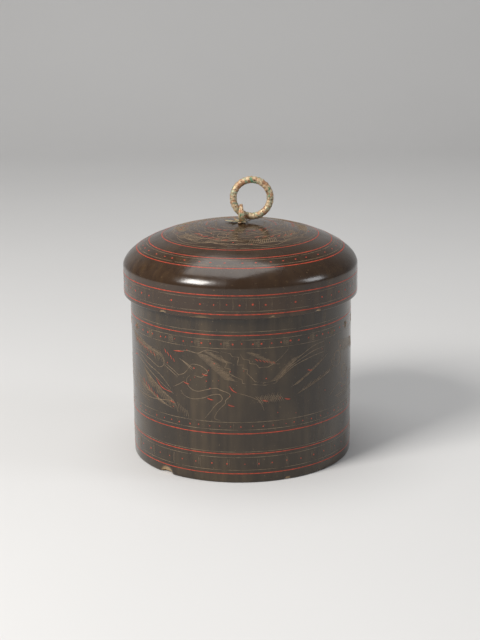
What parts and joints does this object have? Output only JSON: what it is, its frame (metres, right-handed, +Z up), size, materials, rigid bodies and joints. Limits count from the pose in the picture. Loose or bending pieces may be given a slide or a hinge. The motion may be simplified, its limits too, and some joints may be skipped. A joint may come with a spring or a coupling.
{
  "type": "lidded box",
  "caption": "Round lacquered wooden box with a deep domed lid that lifts off and a cast ring that swings on a split pin.",
  "frame": {"origin": "centre of the foot, on the surface that the box stands on", "axes": "+Z up along the box's axis; the ring's plane is XZ at rest, so -Y is the front"},
  "size_m": [0.11, 0.11, 0.1316],
  "materials": {
    "lacquered_wood": "gloss lacquer, dark olive brown",
    "bare_wood": "bare",
    "bronze": "aged cast bronze"
  },
  "bodies": {
    "box": {"body_wall": "lacquered_wood", "body_floor": "lacquered_wood", "floor_peg_1": "bare_wood", "floor_peg_2": "bare_wood", "floor_peg_3": "bare_wood", "floor_peg_4": "bare_wood", "floor_peg_5": "bare_wood", "floor_peg_6": "bare_wood", "body_seam_peg_1": "bare_wood", "body_seam_peg_2": "bare_wood", "body_seam_peg_3": "bare_wood"},
    "lid": {"lid_skirt": "lacquered_wood", "lid_crown": "lacquered_wood", "leaf_plate": "bronze", "split_pin": "bronze", "crown_peg_1": "bare_wood", "crown_peg_2": "bare_wood", "crown_peg_3": "bare_wood", "crown_peg_4": "bare_wood", "crown_peg_5": "bare_wood", "crown_peg_6": "bare_wood", "lid_seam_peg_1": "bare_wood", "lid_seam_peg_2": "bare_wood"},
    "ring": {"pull_ring": "bronze"}
  },
  "joints": [
    {"name": "lid_lift", "type": "slide", "parent": "box", "child": "lid", "axis": [0, 0, 1], "range_m": [0, 0.04]},
    {"name": "ring_swing", "type": "hinge", "parent": "lid", "child": "ring", "pos_m": [0.0005, 0, 0.11425], "axis": [1, 0, 0], "range_deg": [-98, 98]}
  ]
}
